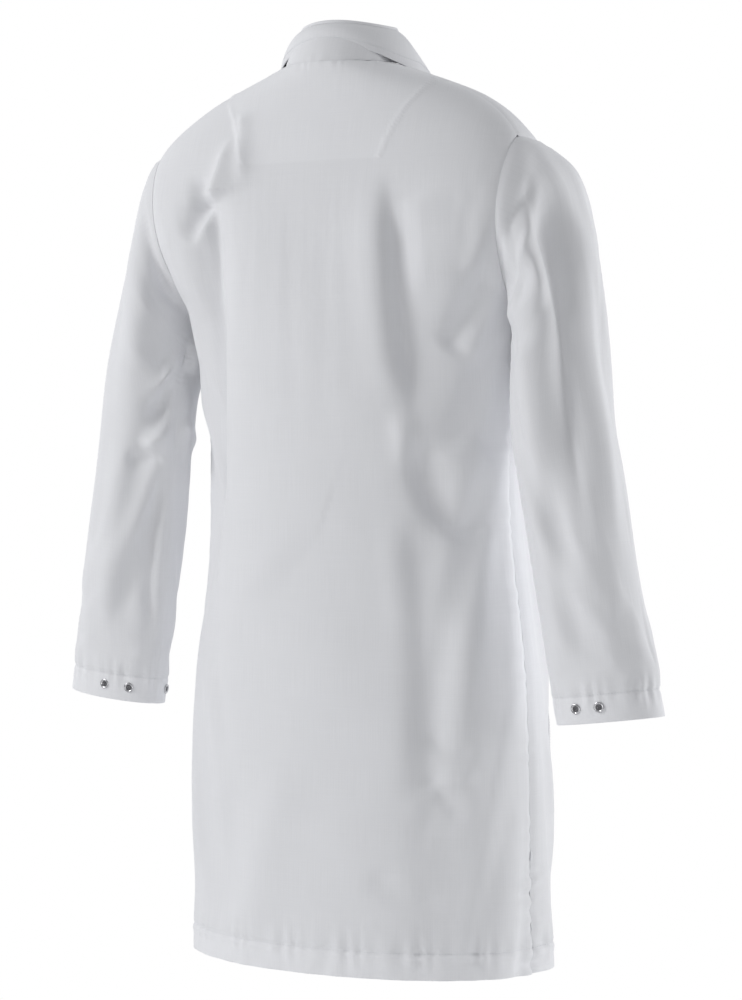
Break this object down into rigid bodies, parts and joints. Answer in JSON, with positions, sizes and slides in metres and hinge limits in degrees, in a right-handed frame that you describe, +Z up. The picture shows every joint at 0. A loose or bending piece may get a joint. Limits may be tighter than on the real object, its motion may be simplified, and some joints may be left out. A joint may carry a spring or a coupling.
{
  "type": "lab coat",
  "caption": "Long-sleeved white lab coat in its worn shape, with a turned-down collar, studded cuffs, side slits and a front that opens.",
  "frame": {"origin": "middle of the neck opening, level with the collar seam at the nape", "axes": "+Z up along the back, front of the coat faces -Y, the wearer's left is +X"},
  "size_m": [0.778, 0.284, 1.0691],
  "materials": {
    "coat_cloth": "matt plain-woven polyester and cotton",
    "inner_cloth": "matt plain-woven polyester and cotton, inner side",
    "tape": "woven cotton tape",
    "thread": "polyester sewing thread",
    "stud_steel": "nickel-plated"
  },
  "bodies": {
    "root": {"back_panel": "coat_cloth", "back_hem_band": "inner_cloth", "back_neck_facing": "inner_cloth", "neck_label": "tape", "left_side_front": "coat_cloth", "right_side_front": "coat_cloth", "left_front_hem_band": "inner_cloth", "right_front_hem_band": "inner_cloth", "left_lapel": "coat_cloth", "right_lapel": "coat_cloth", "collar_stand": "coat_cloth", "collar_leaf": "coat_cloth", "chest_pocket": "coat_cloth", "left_hip_pocket": "coat_cloth", "right_hip_pocket": "coat_cloth", "left_slit_bar_tack": "thread", "right_slit_bar_tack": "thread"},
    "left_front": {"left_front_flap": "coat_cloth", "left_front_facing": "inner_cloth", "front_stud_caps": "stud_steel", "front_stud_sockets": "stud_steel"},
    "right_front": {"right_front_flap": "coat_cloth", "right_front_facing": "inner_cloth", "front_studs_lower": "stud_steel", "front_stud_posts": "stud_steel"},
    "left_upper_arm": {"left_upper_sleeve": "coat_cloth"},
    "right_upper_arm": {"right_upper_sleeve": "coat_cloth"},
    "left_forearm": {"left_lower_sleeve": "coat_cloth", "left_cuff_band": "inner_cloth", "left_cuff_stud_rings": "stud_steel", "left_cuff_stud_backs": "stud_steel"},
    "right_forearm": {"right_lower_sleeve": "coat_cloth", "right_cuff_band": "inner_cloth", "right_cuff_stud_rings": "stud_steel", "right_cuff_stud_backs": "stud_steel"},
    "loop": {"hanger_loop": "tape"}
  },
  "joints": [
    {"name": "left_front_open", "type": "hinge", "parent": "root", "child": "left_front", "pos_m": [0.078, -0.1718, -0.6], "axis": [0, 0.0515, 0.9987], "range_deg": [0, 110]},
    {"name": "right_front_open", "type": "hinge", "parent": "root", "child": "right_front", "pos_m": [-0.078, -0.1718, -0.6], "axis": [0, -0.0515, -0.9987], "range_deg": [0, 66]},
    {"name": "left_arm_raise", "type": "hinge", "parent": "root", "child": "left_upper_arm", "pos_m": [0.2345, -0.01, -0.091], "axis": [0, -1, 0], "range_deg": [0, 60]},
    {"name": "right_arm_raise", "type": "hinge", "parent": "root", "child": "right_upper_arm", "pos_m": [-0.2345, -0.01, -0.091], "axis": [0, 1, 0], "range_deg": [0, 60]},
    {"name": "left_elbow_bend", "type": "hinge", "parent": "left_upper_arm", "child": "left_forearm", "pos_m": [0.283, -0.0585, -0.46], "axis": [-0.9912, 0, -0.1322], "range_deg": [0, 80]},
    {"name": "right_elbow_bend", "type": "hinge", "parent": "right_upper_arm", "child": "right_forearm", "pos_m": [-0.283, -0.0585, -0.46], "axis": [-0.9912, 0, 0.1322], "range_deg": [0, 80]},
    {"name": "loop_swing", "type": "hinge", "parent": "root", "child": "loop", "pos_m": [0, 0.048, -0.003], "axis": [-1, 0, 0], "range_deg": [0, 120]}
  ],
  "couplings": [
    {"joint": "right_front_open", "follows": "left_front_open", "ratio": 0.6}
  ]
}
